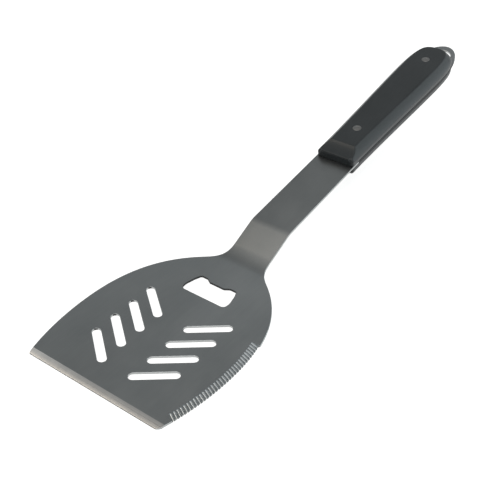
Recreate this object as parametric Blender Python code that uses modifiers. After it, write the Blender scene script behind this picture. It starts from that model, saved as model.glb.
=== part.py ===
"""Grill spatula: one bent steel sheet, two riveted handle scales.

Units are metres, +Z is up. X runs from the front edge of the blade to the tail of
the handle, and Y runs to the left, so the serrated side is at -Y. The origin is on
the blade's underside, on the centre line, in the middle of the blade.

The sheet is one piece: a flat blade, a short riser, and a shank that carries on
through the handle as a full tang. Everything on the tang is placed in the tang's own
frame, an empty on the tang's top face: its X runs along the tang, and its Z stands
square on it.
"""
import math

import bmesh
import bpy
from mathutils import Matrix, Vector
from mathutils.geometry import interpolate_bezier

MM = 0.001

# Fits
GAP = 0.3 * MM                      # clearance between touching pieces

# Sheet, side view
SHEET = 1.6 * MM
BLADE_LENGTH = 154.6 * MM           # front edge to the first bend
RISER_RUN = 29.2 * MM
RISER_HEIGHT = 13.45 * MM
TANG_SLOPE = math.radians(8.56)
LOWER_BEND_RADIUS = 40.0 * MM
UPPER_BEND_RADIUS = 20.0 * MM
EDGE_BEVEL = 5.4 * MM               # ground bevel behind the front edge
EDGE_THICKNESS = 0.8 * MM

# Blade, seen from above
FRONT_WIDTH = 106.0 * MM
BLADE_WIDTH = 123.6 * MM
WIDEST_AT = 59.2 * MM               # behind the front edge
LEFT_CORNER = 0.7 * MM
RIGHT_CORNER = 3.5 * MM
SHOULDER_LENGTH = 13.4 * MM          # the curve into the neck starts this far before the bend
SHOULDER_WIDTH = 54.0 * MM
SHOULDER_ANGLE = math.radians(50.8)
NECK_BLEND = 7.4 * MM               # and ends this far after it
SHANK_WIDTH = 32.4 * MM

# How far the outline's curves hold their direction, as shares of their length
FRONT_PULL = 0.31
FRONT_DROP = 0.16                   # share of the widening that is still to come there
WIDEST_PULL = 0.34
SWEEP_PULL = 0.547
SHOULDER_PULL = 0.274
NECK_START_PULL = 0.42
NECK_END_PULL = 0.5
FLARE_START_PULL = 0.33
FLARE_END_PULL = 0.22
TAIL_PULL = 0.7
TANG_TAIL_FULLNESS = 0.48            # how blunt the tail is, as a share of the half width
SCALE_TAIL_FULLNESS = 0.84

# Drain slots: two mirrored rows that make chevrons
SLOTS_PER_ROW = 4
FIRST_SLOT = 30.7 * MM              # slot centre, behind the front edge
SLOT_PITCH = 17.33 * MM
SLOT_OFFSET = 22.8 * MM             # slot centre to the centre line
SLOT_LENGTH = 31.8 * MM
SLOT_WIDTH = 6.0 * MM
SLOT_ANGLE = math.radians(51.5)

# Bottle opener
OPENER_FRONT = 105.1 * MM           # its straight edge, behind the front edge
OPENER_LENGTH = 18.1 * MM
OPENER_WIDTH = 37.2 * MM
OPENER_TAB_WIDTH = 12.0 * MM        # lip that takes the cap, with a notch at each side
OPENER_TAB_DEPTH = 2.4 * MM
OPENER_NOTCH = 3.6 * MM             # run of the slanting side of each notch
OPENER_EAR_WIDTH = 0.80             # full width at the rear, as a share of the opener's width
OPENER_TUCK = 0.6 * MM              # how much each front corner is tucked in
OPENER_WIDEST_AT = 5.5 * MM         # behind its front edge
OPENER_HIP = 0.74                   # where the sides turn in, as a share of the length
OPENER_HIP_WIDTH = 0.9              # the width there, as a share of the greatest
OPENER_RADII = [3.0 * MM, 12.0 * MM, 8.0 * MM, 1.6 * MM, 2.0 * MM, 1.6 * MM]    # front to tab

# Serrated side
TEETH = 32
SERRATION_START = 8.6 * MM          # behind the front edge
SERRATION_END = 89.6 * MM
SERRATION_RECESS = 1.0 * MM         # the side lies this far in, from the front to the last tooth
GROOVE_LENGTH = 4.6 * MM
GROOVE_END_DEPTH = 0.8 * MM
GROOVE_EDGE_DEPTH = 1.75 * MM
GROOVE_FILL = 0.95                  # share of the pitch that a groove takes at the edge

# Tang and hanging hole, along the tang from the second bend
TANG_LENGTH = 274.3 * MM
TANG_WIDEST_AT = 222.0 * MM
TANG_WIDTH = 39.0 * MM
HOLE_RADIUS = 9.5 * MM
HOLE_REAR_WALL = 6.4 * MM
HOLE_LENGTH = 7.8 * MM

# Handle scales, along the tang from the second bend
SCALE_FRONT = 86.0 * MM
SCALE_REAR = 258.2 * MM
SCALE_THICKNESS = 10.0 * MM
SCALE_WALL = 2.5 * MM               # upright rim against the tang
SCALE_INSET = 5.6 * MM              # the side face leans in by this much
SCALE_WALL_PULL = 0.42               # heights and inset that steer its curve, as shares of the whole
SCALE_FACET_HEIGHT = 0.62
SCALE_FACET_INSET = 0.32
COVE_LENGTH = 12.0 * MM
COVE_LIP = 6.0 * MM                 # height of the upright nose in front of it
COVE_NOSE = 1.2 * MM                # radius over the nose
COVE_START_PULL = 0.45
COVE_START_RISE = 0.16
COVE_END_PULL = 0.14
COVE_END_DROP = 0.42

# Rivets
RIVET_PLACES = {"front_rivet": 119.3 * MM, "rear_rivet": 231.9 * MM}
RIVET_HEAD_RADIUS = 3.5 * MM
RIVET_HEAD_HEIGHT = 1.8 * MM
RIVET_HEAD_PROUD = 0.3 * MM
RIVET_BARREL_RADIUS = 2.5 * MM
RIVET_STEM_RADIUS = 1.6 * MM
RIVET_STEM_SPARE = 1.0 * MM         # room left above the stem inside the cap's barrel

# Places that follow from the sizes above
ORIGIN_TO_FRONT = BLADE_LENGTH / 2
TANG_START = Vector((BLADE_LENGTH + RISER_RUN, 0, SHEET + RISER_HEIGHT))
CUT_MARGIN = 4 * MM                 # how far a cutter stands out of what it cuts
SCALE_TOP = GAP + SCALE_THICKNESS
SCALE_BOTTOM = -SHEET - GAP - SCALE_THICKNESS


# ---------------------------------------------------------------- helpers

def clear_scene():
    for old in list(bpy.data.objects):
        bpy.data.objects.remove(old, do_unlink=True)


def new_collection(name):
    collection = bpy.data.collections.new(name)
    bpy.context.scene.collection.children.link(collection)
    return collection


def material(name, color, roughness, metallic):
    made = bpy.data.materials.new(name)
    made.use_nodes = True
    shader = made.node_tree.nodes["Principled BSDF"]
    shader.inputs["Base Color"].default_value = (*color, 1)
    shader.inputs["Roughness"].default_value = roughness
    shader.inputs["Metallic"].default_value = metallic
    return made


def add_object(name, data, collection, parent, matrix=None):
    made = bpy.data.objects.new(name, data)
    collection.objects.link(made)
    made.parent = parent
    made.matrix_local = matrix or Matrix()
    bpy.context.view_layer.update()
    return made


def add_frame(name, parent, matrix):
    return add_object(name, None, parts, parent, matrix)


def mesh_of(shape):
    """A welded mesh copy of what the object's curve or modifiers make."""
    evaluated = shape.evaluated_get(bpy.context.evaluated_depsgraph_get())
    mesh = bpy.data.meshes.new_from_object(evaluated)
    work = bmesh.new()
    work.from_mesh(mesh)
    bmesh.ops.remove_doubles(work, verts=work.verts, dist=0.001 * MM)
    bmesh.ops.recalc_face_normals(work, faces=work.faces)
    work.to_mesh(mesh)
    work.free()
    return mesh


def plate(name, outline, bottom, top, parent, collection=None):
    """A flat outline, filled and extruded from height bottom to height top."""
    curve = bpy.data.curves.new(name, "CURVE")
    curve.dimensions = "2D"
    curve.fill_mode = "BOTH"
    curve.extrude = (top - bottom) / 2
    spline = curve.splines.new("POLY")
    spline.points.add(len(outline) - 1)
    for point, (x, y) in zip(spline.points, outline):
        point.co = (x, y, 0, 1)
    spline.use_cyclic_u = True
    middle = Matrix.Translation((0, 0, (top + bottom) / 2))
    shape = add_object(name + "_curve", curve, cutters, parent, middle)
    mesh = mesh_of(shape)
    bpy.data.objects.remove(shape)
    return add_object(name, mesh, collection or cutters, parent, middle)


def side_plate(name, outline, half_width, parent):
    """An outline in X and Z, extruded to both sides of the centre line."""
    upright = Matrix.Rotation(math.pi / 2, 4, "X")
    made = plate(name, outline, -half_width, half_width, parent)
    made.matrix_local = upright
    return made


def hide(cutter):
    cutter.hide_render = True
    cutter.display_type = "WIRE"


def boolean(target, cutter, operation="DIFFERENCE"):
    modifier = target.modifiers.new(cutter.name, "BOOLEAN")
    modifier.operation = operation
    modifier.solver = "EXACT"
    modifier.object = cutter
    hide(cutter)


def fillet(points, radii, segments, closed):
    """The points' path, with each corner that has a radius turned into an arc."""
    path = []
    count = len(points)
    for i, (corner, radius) in enumerate(zip(points, radii)):
        corner = Vector(corner)
        if not radius or (not closed and i in (0, count - 1)):
            path.append(tuple(corner))
            continue
        back = (Vector(points[i - 1]) - corner).normalized()
        ahead = (Vector(points[(i + 1) % count]) - corner).normalized()
        half_turn = back.angle(ahead) / 2
        centre = corner + (back + ahead).normalized() * radius / math.sin(half_turn)
        start = corner + back * radius / math.tan(half_turn) - centre
        end = corner + ahead * radius / math.tan(half_turn) - centre
        turn = start.angle_signed(end)
        for step in range(segments + 1):
            angle = -turn * step / segments
            spoke = Matrix.Rotation(angle, 2) @ start
            path.append(tuple(centre + spoke))
    return path


def bezier(start, start_handle, end_handle, end, segments):
    points = interpolate_bezier(*(Vector((*p, 0)) for p in (start, start_handle, end_handle, end)),
                                segments + 1)
    return [(p.x, p.y) for p in points]


def mirrored(points):
    return [(x, -y) for x, y in reversed(points)]


def lathe(name, profile, parent, steps=32):
    """A profile in X and Z, turned about Z. It runs down its outer side."""
    mesh = bpy.data.meshes.new(name)
    edges = [(i, i + 1) for i in range(len(profile) - 1)]
    mesh.from_pydata([(r, 0, z) for r, z in profile], edges, [])
    made = add_object(name, mesh, parts, parent)
    screw = made.modifiers.new("Turn", "SCREW")
    screw.steps = steps
    screw.render_steps = steps
    screw.use_merge_vertices = True
    screw.merge_threshold = 0.01 * MM
    screw.use_smooth_shade = False
    return made


# ---------------------------------------------------------------- the steel sheet

def blade_side():
    """The left side of the blade, from the front edge to the neck, as X and Y."""
    widest = (WIDEST_AT, BLADE_WIDTH / 2)
    shoulder = (BLADE_LENGTH - SHOULDER_LENGTH, SHOULDER_WIDTH / 2)
    neck = (BLADE_LENGTH + NECK_BLEND, SHANK_WIDTH / 2)
    slope = Vector((math.cos(SHOULDER_ANGLE), -math.sin(SHOULDER_ANGLE)))
    front = bezier((0, FRONT_WIDTH / 2),
                   (WIDEST_AT * FRONT_PULL, BLADE_WIDTH / 2 - (BLADE_WIDTH - FRONT_WIDTH) * FRONT_DROP),
                   (WIDEST_AT * (1 - WIDEST_PULL), BLADE_WIDTH / 2), widest, 10)
    reach = shoulder[0] - WIDEST_AT
    sweep = bezier(widest, (WIDEST_AT + reach * SWEEP_PULL, BLADE_WIDTH / 2),
                   tuple(Vector(shoulder) - slope * reach * SHOULDER_PULL), shoulder, 16)
    turn = neck[0] - shoulder[0]
    blend = bezier(shoulder, tuple(Vector(shoulder) + slope * turn * NECK_START_PULL),
                   (neck[0] - turn * NECK_END_PULL, neck[1]), neck, 8)
    return front + sweep[1:] + blend[1:]


def along(points, x):
    """The point at x on a path whose points run in order of X."""
    for (x0, y0), (x1, y1) in zip(points, points[1:]):
        if x0 <= x <= x1:
            return (x, y0 + (y1 - y0) * (x - x0) / (x1 - x0))
    raise ValueError("x is off the path")


def serrated(side):
    """The blade's side with the serrated stretch set in."""
    start, end = SERRATION_START, SERRATION_END
    front = [p for p in side if p[0] < start] + [along(side, start)]
    teeth = [p for p in side if start < p[0] < end] + [along(side, end)]
    inner = [(x, y - SERRATION_RECESS) for x, y in front + teeth]
    after = [along(side, end)] + [p for p in side if p[0] > end]
    return inner + after


def tang_side(rear, tail_fullness, segments):
    """Half outline from the handle's front to the tail at rear, in the tang's frame."""
    widest = (TANG_WIDEST_AT, TANG_WIDTH / 2)
    reach = TANG_WIDEST_AT - SCALE_FRONT
    flare = bezier((SCALE_FRONT, SHANK_WIDTH / 2),
                   (SCALE_FRONT + reach * FLARE_START_PULL, SHANK_WIDTH / 2),
                   (TANG_WIDEST_AT - reach * FLARE_END_PULL, widest[1]), widest, segments)
    tail = bezier(widest, (widest[0] + (rear - widest[0]) * TAIL_PULL, widest[1]),
                  (rear, widest[1] * tail_fullness), (rear, 0), segments)
    return flare + tail[1:]


def on_plan(points):
    """Points of the tang's frame as the blade's plan view sees them."""
    return [(TANG_START.x + x * math.cos(TANG_SLOPE), y) for x, y in points]


def sheet_outline():
    side = blade_side()
    tang = on_plan(tang_side(TANG_LENGTH, TANG_TAIL_FULLNESS, 14))
    left = side + tang
    right = serrated(side) + tang
    outline = left[:-1] + mirrored(right)
    radii = [LEFT_CORNER] + [0] * (len(outline) - 2) + [RIGHT_CORNER]
    return fillet(outline, radii, 4, closed=True)


def bent_sheet(parent):
    """The whole sheet as one bent strip, still wider than the blade."""
    far = TANG_LENGTH + CUT_MARGIN
    tail = (TANG_START.x + far * math.cos(TANG_SLOPE), TANG_START.z + far * math.sin(TANG_SLOPE))
    bends = [(-CUT_MARGIN, SHEET), (BLADE_LENGTH, SHEET), (TANG_START.x, TANG_START.z), tail]
    path = fillet(bends, [0, LOWER_BEND_RADIUS, UPPER_BEND_RADIUS, 0], 10, closed=False)
    half = BLADE_WIDTH / 2 + CUT_MARGIN
    work = bmesh.new()
    rows = [[work.verts.new((x, y, z)) for x, z in path] for y in (-half, half)]
    for i in range(len(path) - 1):
        work.faces.new((rows[0][i], rows[0][i + 1], rows[1][i + 1], rows[1][i]))
    mesh = bpy.data.meshes.new("blade_and_tang")
    work.to_mesh(mesh)
    work.free()
    sheet = add_object("blade_and_tang", mesh, parts, parent)
    solid = sheet.modifiers.new("Sheet", "SOLIDIFY")
    solid.thickness = SHEET
    solid.offset = -1
    solid.use_even_offset = True
    return sheet


def slot_cutters(parent):
    straight = SLOT_LENGTH - SLOT_WIDTH
    ends = []
    for side in (1, -1):
        for step in range(13):
            angle = math.radians(-90 + 15 * step)
            ends.append((side * (straight / 2 + SLOT_WIDTH / 2 * math.cos(angle)),
                         side * SLOT_WIDTH / 2 * math.sin(angle)))
    made = []
    for row in (1, -1):
        for i in range(SLOTS_PER_ROW):
            slot = plate(f"slot_cutter_{'left' if row > 0 else 'right'}_{i + 1}", ends,
                         -CUT_MARGIN, SHEET + CUT_MARGIN, parent)
            place = Matrix.Translation((FIRST_SLOT + i * SLOT_PITCH, row * SLOT_OFFSET, 0))
            slot.matrix_local = place @ Matrix.Rotation(row * SLOT_ANGLE, 4, "Z") @ slot.matrix_local
            made.append(slot)
    return made


def opener_cutter(parent):
    """Straight front, bulging sides, and a tab between two notches at the rear."""
    rear = OPENER_FRONT + OPENER_LENGTH
    tab = rear - OPENER_TAB_DEPTH
    half = OPENER_WIDTH / 2
    corners = [(OPENER_FRONT, half - OPENER_TUCK), (OPENER_FRONT + OPENER_WIDEST_AT, half),
               (OPENER_FRONT + OPENER_LENGTH * OPENER_HIP, half * OPENER_HIP_WIDTH),
               (rear, half * OPENER_EAR_WIDTH),
               (rear, OPENER_TAB_WIDTH / 2 + OPENER_NOTCH), (tab, OPENER_TAB_WIDTH / 2)]
    outline = fillet(corners + mirrored(corners), OPENER_RADII + OPENER_RADII[::-1], 4, closed=True)
    return plate("opener_cutter", outline, -CUT_MARGIN, SHEET + CUT_MARGIN, parent)


def bevel_cutter(parent):
    """Wedge that grinds the front edge down from the top face."""
    slope = (SHEET - EDGE_THICKNESS) / EDGE_BEVEL
    reach = 2 * CUT_MARGIN
    wedge = [(EDGE_BEVEL, SHEET), (EDGE_BEVEL + reach, SHEET + slope * reach),
             (-reach, SHEET + slope * reach), (-reach, EDGE_THICKNESS - slope * reach)]
    return side_plate("bevel_cutter", wedge, BLADE_WIDTH, parent)


def groove_cutter(side, parent):
    """One V groove for each tooth, square to the serrated side and deeper at the edge."""
    stretch = [p for p in serrated(side) if SERRATION_START <= p[0] <= SERRATION_END]
    edge = [Vector((x, -y)) for x, y in stretch[:-1]]
    lengths = [0.0]
    for a, b in zip(edge, edge[1:]):
        lengths.append(lengths[-1] + (b - a).length)
    pitch = lengths[-1] / TEETH
    tilt = math.atan((GROOVE_EDGE_DEPTH - GROOVE_END_DEPTH) / GROOVE_LENGTH)
    flare = GROOVE_FILL * pitch / 2 / GROOVE_EDGE_DEPTH
    work = bmesh.new()
    for tooth in range(TEETH):
        distance = (tooth + 0.5) * pitch
        k = max(i for i, length in enumerate(lengths) if length <= distance)
        ahead = (edge[k + 1] - edge[k]).normalized()
        point = edge[k] + ahead * (distance - lengths[k])
        outward = Vector((ahead.y, -ahead.x, 0))
        add_groove(work, Vector((*point, SHEET)), outward, tilt, flare)
    mesh = bpy.data.meshes.new("groove_cutter")
    work.to_mesh(mesh)
    work.free()
    return add_object("groove_cutter", mesh, cutters, parent)


def add_groove(work, place, outward, tilt, flare):
    """A four-sided bar lying across the edge, with one corner down."""
    half_height = GROOVE_EDGE_DEPTH * 1.5
    length = GROOVE_LENGTH + CUT_MARGIN
    bar = bmesh.ops.create_cone(work, cap_ends=True, segments=4, radius1=half_height,
                                radius2=half_height, depth=length)["verts"]
    bmesh.ops.scale(work, verts=bar, vec=(1, flare, 1))
    bmesh.ops.rotate(work, verts=bar, matrix=Matrix.Rotation(math.pi / 2, 3, "Y"))
    bmesh.ops.translate(work, verts=bar, vec=((CUT_MARGIN - GROOVE_LENGTH) / 2, 0,
                                              half_height - GROOVE_EDGE_DEPTH))
    bmesh.ops.rotate(work, verts=bar, matrix=Matrix.Rotation(tilt, 3, "Y"))
    heading = math.atan2(outward.y, outward.x)
    bmesh.ops.rotate(work, verts=bar, matrix=Matrix.Rotation(heading, 3, "Z"))
    bmesh.ops.translate(work, verts=bar, vec=place)


def hanging_hole_cutter(tang):
    """Half-moon that follows the round tail."""
    rear = TANG_LENGTH - HOLE_REAR_WALL
    front = rear - HOLE_LENGTH
    centre = rear - HOLE_RADIUS
    start = math.acos((front - centre) / HOLE_RADIUS)
    arc = []
    for step in range(17):
        angle = -start + 2 * start * step / 16
        arc.append((centre + HOLE_RADIUS * math.cos(angle), HOLE_RADIUS * math.sin(angle)))
    radii = [0.8 * MM] + [0] * (len(arc) - 2) + [0.8 * MM]
    outline = fillet(arc, radii, 3, closed=True)
    return plate("hanging_hole_cutter", outline, -SHEET - CUT_MARGIN, CUT_MARGIN, tang)


def rivet_hole_cutter(name, along_tang, tang, radius, bottom, top):
    circle = []
    for step in range(32):
        angle = math.tau * step / 32
        circle.append((along_tang + radius * math.cos(angle), radius * math.sin(angle)))
    return plate(name, circle, bottom, top, tang)


def make_sheet(blade, tang):
    sheet = bent_sheet(blade)
    height = TANG_START.z + TANG_LENGTH
    boolean(sheet, plate("outline_cutter", sheet_outline(), -CUT_MARGIN, height, blade), "INTERSECT")
    boolean(sheet, bevel_cutter(blade))
    for slot in slot_cutters(blade):
        boolean(sheet, slot)
    boolean(sheet, opener_cutter(blade))
    boolean(sheet, groove_cutter(blade_side(), blade))
    boolean(sheet, hanging_hole_cutter(tang))
    for name, place in RIVET_PLACES.items():
        boolean(sheet, rivet_hole_cutter(name + "_tang_hole", place, tang, RIVET_BARREL_RADIUS + GAP,
                                         -SHEET - CUT_MARGIN, CUT_MARGIN))
    sheet.data.materials.append(material("brushed_steel", (0.32, 0.33, 0.33), 0.38, 1.0))
    return sheet


# ---------------------------------------------------------------- the handle

def scale_section():
    """Inset and height, up the leaning side from the tang to the flat top."""
    lean = bezier((0, SCALE_WALL), (0, SCALE_THICKNESS * SCALE_WALL_PULL),
                  (SCALE_INSET * SCALE_FACET_INSET, SCALE_THICKNESS * SCALE_FACET_HEIGHT),
                  (SCALE_INSET, SCALE_THICKNESS), 8)
    return [(0, 0)] + lean


def inset_ring(outline, inset):
    """The half outline moved in, square to itself. Its first point only moves sideways."""
    ring = []
    for i, point in enumerate(outline):
        before = Vector(outline[max(i - 1, 0)])
        after = Vector(outline[min(i + 1, len(outline) - 1)])
        ahead = (after - before).normalized()
        if i == 0:
            ahead = Vector((1, 0))
        if i == len(outline) - 1:
            ahead = Vector((0, -1))
        ring.append((point[0] + ahead.y * inset, point[1] - ahead.x * inset))
    return ring[:-1] + [(ring[-1][0], 0)] + mirrored(ring[:-1])


def loft_scale(name, tang, side):
    """Rings of the handle's outline, each at its height, joined into one closed solid."""
    outline = tang_side(SCALE_REAR, SCALE_TAIL_FULLNESS, 12)
    base = GAP if side > 0 else -SHEET - GAP
    work = bmesh.new()
    rings = []
    for inset, height in scale_section():
        points = inset_ring(outline, inset)
        rings.append([work.verts.new((x, y, base + side * height)) for x, y in points])
    work.faces.new(rings[0])
    work.faces.new(rings[-1])
    for low, high in zip(rings, rings[1:]):
        for i in range(len(low)):
            j = (i + 1) % len(low)
            work.faces.new((low[i], low[j], high[j], high[i]))
    bmesh.ops.recalc_face_normals(work, faces=work.faces)
    mesh = bpy.data.meshes.new(name)
    work.to_mesh(mesh)
    work.free()
    return add_object(name, mesh, parts, tang)


def cove_cutter(name, tang, side):
    """Hollow that runs down from the flat top to a round nose at the handle's front."""
    base = GAP if side > 0 else -SHEET - GAP
    rise = SCALE_THICKNESS - COVE_LIP
    back = SCALE_FRONT + COVE_LENGTH
    nose = []
    for step in range(5):
        angle = math.pi / 2 * step / 4
        nose.append((SCALE_FRONT + COVE_NOSE * (1 - math.cos(angle)),
                     COVE_LIP - COVE_NOSE * (1 - math.sin(angle))))
    cove = bezier((SCALE_FRONT + COVE_NOSE, COVE_LIP),
                  (SCALE_FRONT + COVE_LENGTH * COVE_START_PULL, COVE_LIP + rise * COVE_START_RISE),
                  (back - COVE_LENGTH * COVE_END_PULL, SCALE_THICKNESS - rise * COVE_END_DROP),
                  (back, SCALE_THICKNESS), 10)
    above = SCALE_THICKNESS + CUT_MARGIN
    outline = [(SCALE_FRONT - CUT_MARGIN, nose[0][1])] + nose + cove[1:]
    outline += [(back, above), (SCALE_FRONT - CUT_MARGIN, above)]
    return side_plate(name, [(x, base + side * height) for x, height in outline], SHANK_WIDTH, tang)


def make_scale(name, tang, side):
    scale = loft_scale(name, tang, side)
    boolean(scale, cove_cutter(name + "_cove", tang, side))
    outer = SCALE_TOP if side > 0 else SCALE_BOTTOM
    seat = outer - side * (RIVET_HEAD_HEIGHT - RIVET_HEAD_PROUD + GAP)
    for rivet, place in RIVET_PLACES.items():
        low, high = sorted((-side * (SHEET + CUT_MARGIN), outer + side * CUT_MARGIN))
        boolean(scale, rivet_hole_cutter(f"{name}_{rivet}_hole", place, tang,
                                         RIVET_BARREL_RADIUS + GAP, low, high))
        low, high = sorted((seat, outer + side * CUT_MARGIN))
        boolean(scale, rivet_hole_cutter(f"{name}_{rivet}_seat", place, tang,
                                         RIVET_HEAD_RADIUS + GAP, low, high))
    scale.data.materials.append(material(name + "_black", (0.035, 0.038, 0.042), 0.42, 0.0))
    return scale


def make_rivet(name, along_tang, tang):
    """A post from below, whose stem sits in the barrel of a cap from above."""
    centre = add_frame(name + "_axis", tang, Matrix.Translation((along_tang, 0, 0)))
    crown = 0.35 * MM
    head = RIVET_HEAD_RADIUS
    stem = RIVET_STEM_RADIUS
    barrel = RIVET_BARREL_RADIUS
    top = SCALE_TOP + RIVET_HEAD_PROUD
    cap_seat = top - RIVET_HEAD_HEIGHT
    bottom = SCALE_BOTTOM - RIVET_HEAD_PROUD
    post_seat = bottom + RIVET_HEAD_HEIGHT
    stem_top = cap_seat - RIVET_STEM_SPARE
    cap = [(0, top), (head * 0.6, top - crown * 0.3), (head, top - crown), (head, cap_seat),
           (barrel, cap_seat), (barrel, post_seat + GAP), (stem + GAP, post_seat + GAP),
           (stem + GAP, stem_top + GAP), (0, stem_top + GAP)]
    post = [(0, stem_top), (stem, stem_top), (stem, post_seat), (head, post_seat),
            (head, bottom + crown), (head * 0.6, bottom + crown * 0.3), (0, bottom)]
    for part, profile in (("cap", cap), ("post", post)):
        piece = lathe(f"{name}_{part}", profile, centre)
        piece.data.materials.append(material(f"{name}_{part}_steel", (0.42, 0.41, 0.40), 0.4, 1.0))


# ---------------------------------------------------------------- assembly

clear_scene()
parts = new_collection("grill_spatula")
cutters = new_collection("cutters")
blade_frame = add_frame("blade_frame", None, Matrix.Translation((-ORIGIN_TO_FRONT, 0, 0)))
tang_frame = add_frame("tang_frame", blade_frame, Matrix.Translation(TANG_START)
                       @ Matrix.Rotation(-TANG_SLOPE, 4, "Y"))
make_sheet(blade_frame, tang_frame)
make_scale("upper_scale", tang_frame, 1)
make_scale("lower_scale", tang_frame, -1)
for rivet_name, rivet_place in RIVET_PLACES.items():
    make_rivet(rivet_name, rivet_place, tang_frame)
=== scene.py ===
"""The looks of the grill spatula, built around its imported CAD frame.

Metres, +Z up. X runs from the blade's front edge to the handle's tail, the serrated
side is at -Y. The sheet is made as it is in a workshop: a flat blank with its holes,
ground and serrated, which is then bent. The handle's pieces are made in the tang's own
frame, with X along the tang and Z square on its top face.
"""
import math

import bmesh
import bpy
import numpy as np
from mathutils import Matrix, Vector


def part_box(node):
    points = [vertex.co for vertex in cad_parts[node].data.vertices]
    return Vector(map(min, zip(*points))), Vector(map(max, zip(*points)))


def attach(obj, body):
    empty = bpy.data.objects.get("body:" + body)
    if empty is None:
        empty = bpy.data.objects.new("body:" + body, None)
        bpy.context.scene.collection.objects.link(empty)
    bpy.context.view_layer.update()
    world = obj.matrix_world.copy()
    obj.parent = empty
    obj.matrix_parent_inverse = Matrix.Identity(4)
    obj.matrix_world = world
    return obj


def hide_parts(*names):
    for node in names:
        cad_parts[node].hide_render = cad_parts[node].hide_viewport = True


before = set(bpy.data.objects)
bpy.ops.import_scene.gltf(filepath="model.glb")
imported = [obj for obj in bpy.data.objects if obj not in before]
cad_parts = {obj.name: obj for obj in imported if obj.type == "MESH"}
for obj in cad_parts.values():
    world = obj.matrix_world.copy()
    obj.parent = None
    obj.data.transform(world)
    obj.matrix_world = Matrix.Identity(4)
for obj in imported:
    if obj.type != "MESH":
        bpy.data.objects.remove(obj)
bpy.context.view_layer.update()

MM = 0.001

# Sizes read from the frame
sheet_low, sheet_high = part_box("blade_and_tang")
scale_low, scale_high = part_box("upper_scale")
FRONT_X = sheet_low.x
UNDERSIDE_Z = sheet_low.z
BLADE_WIDTH = 123.6 * MM
TANG_WIDTH = scale_high.y - scale_low.y

# The bent sheet, as in the CAD model
SHEET = 1.6 * MM
BLADE_LENGTH = 154.6 * MM
RISER_RUN = 29.2 * MM
RISER_HEIGHT = 13.45 * MM
TANG_SLOPE = math.radians(8.56)
LOWER_BEND_RADIUS = 40.0 * MM
UPPER_BEND_RADIUS = 20.0 * MM
SHANK_WIDTH = 32.4 * MM
TANG_LENGTH = 274.3 * MM
TANG_WIDEST_AT = 222.0 * MM

# The blade's outline and its holes
FRONT_WIDTH = 106.0 * MM
WIDEST_AT = 59.2 * MM
LEFT_CORNER = 0.7 * MM
RIGHT_CORNER = 3.5 * MM
SHOULDER_LENGTH = 13.4 * MM
SHOULDER_WIDTH = 54.0 * MM
SHOULDER_ANGLE = math.radians(50.8)
NECK_BLEND = 7.4 * MM
SLOTS_PER_ROW = 4
FIRST_SLOT = 30.7 * MM
SLOT_PITCH = 17.33 * MM
SLOT_OFFSET = 22.8 * MM
SLOT_LENGTH = 31.8 * MM
SLOT_WIDTH = 6.0 * MM
SLOT_ANGLE = math.radians(51.5)
OPENER_FRONT = 105.1 * MM
OPENER_LENGTH = 18.1 * MM
OPENER_WIDTH = 37.2 * MM
OPENER_TAB_WIDTH = 12.0 * MM
OPENER_TAB_DEPTH = 2.4 * MM
OPENER_NOTCH = 3.6 * MM
OPENER_EAR_WIDTH = 0.80
OPENER_TUCK = 0.6 * MM
OPENER_WIDEST_AT = 5.5 * MM
OPENER_HIP = 0.74
OPENER_HIP_WIDTH = 0.9
OPENER_RADII = [3.0 * MM, 12.0 * MM, 8.0 * MM, 1.6 * MM, 2.0 * MM, 1.6 * MM]
HOLE_RADIUS = 9.5 * MM
HOLE_REAR_WALL = 6.4 * MM
HOLE_LENGTH = 7.8 * MM
HOLE_CORNER = 0.8 * MM

# How far the outline's curves hold their direction, as shares of their length
FRONT_PULL = 0.31
FRONT_DROP = 0.16
WIDEST_PULL = 0.34
SWEEP_PULL = 0.547
SHOULDER_PULL = 0.274
NECK_START_PULL = 0.42
NECK_END_PULL = 0.5
FLARE_START_PULL = 0.33
FLARE_END_PULL = 0.22
TAIL_PULL = 0.7
TANG_TAIL_FULLNESS = 0.48
SCALE_TAIL_FULLNESS = 0.84
TAIL_TRIM = 0.26 * MM

# Edges and grinding
EDGE_CHAMFER = 0.16 * MM
RIM_REACH = 3.0 * MM
EDGE_BEVEL = 5.4 * MM
EDGE_THICKNESS = 0.8 * MM
GRIND_STEPS = 8
GRIND_CURVE = 2.2
TEETH = 32
SERRATION_START = 8.6 * MM
SERRATION_END = 89.6 * MM
SERRATION_RECESS = 1.0 * MM
GROOVE_LENGTH = 5.2 * MM
GROOVE_END_DEPTH = 0.62 * MM
GROOVE_EDGE_DEPTH = 1.8 * MM
GROOVE_SLANT = math.radians(12)
GROOVE_REACH = 6.0 * MM
GROOVE_NOSE = 0.5 * MM
GROOVE_BAR_HEIGHT = 1.6
GROOVE_FILL = 0.98

# Handle
GAP = 0.3 * MM
SCALE_FRONT = 86.0 * MM
SCALE_REAR = 258.2 * MM
SCALE_THICKNESS = 10.0 * MM
SCALE_WALL = 2.5 * MM
SCALE_INSET = 5.6 * MM
COVE_LENGTH = 12.0 * MM
COVE_LIP = 6.0 * MM
SCALE_WALL_PULL = 0.42
SCALE_FACET_HEIGHT = 0.62
SCALE_FACET_INSET = 0.32
COVE_NOSE = 1.2 * MM
NOSE_CORNER = 2.6 * MM
COVE_START_PULL = 0.45
COVE_START_RISE = 0.16
COVE_END_PULL = 0.14
COVE_END_DROP = 0.42
TAIL_FAN = 0.55
SCALE_EDGE = 0.3 * MM
# Past this distance into the grip, the tang's rim gets painted shade.
PAINTED_SHADE_RIM_START = 9.0 * MM
SCALE_SOFTNESS = 0.5 * MM
RIVET_PLACES = {"front_rivet": 119.3 * MM, "rear_rivet": 231.9 * MM}
RIVET_HEAD_RADIUS = 3.5 * MM
RIVET_HEAD_HEIGHT = 1.8 * MM
RIVET_HEAD_PROUD = 0.25 * MM
RIVET_BARREL_RADIUS = 2.5 * MM
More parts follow.
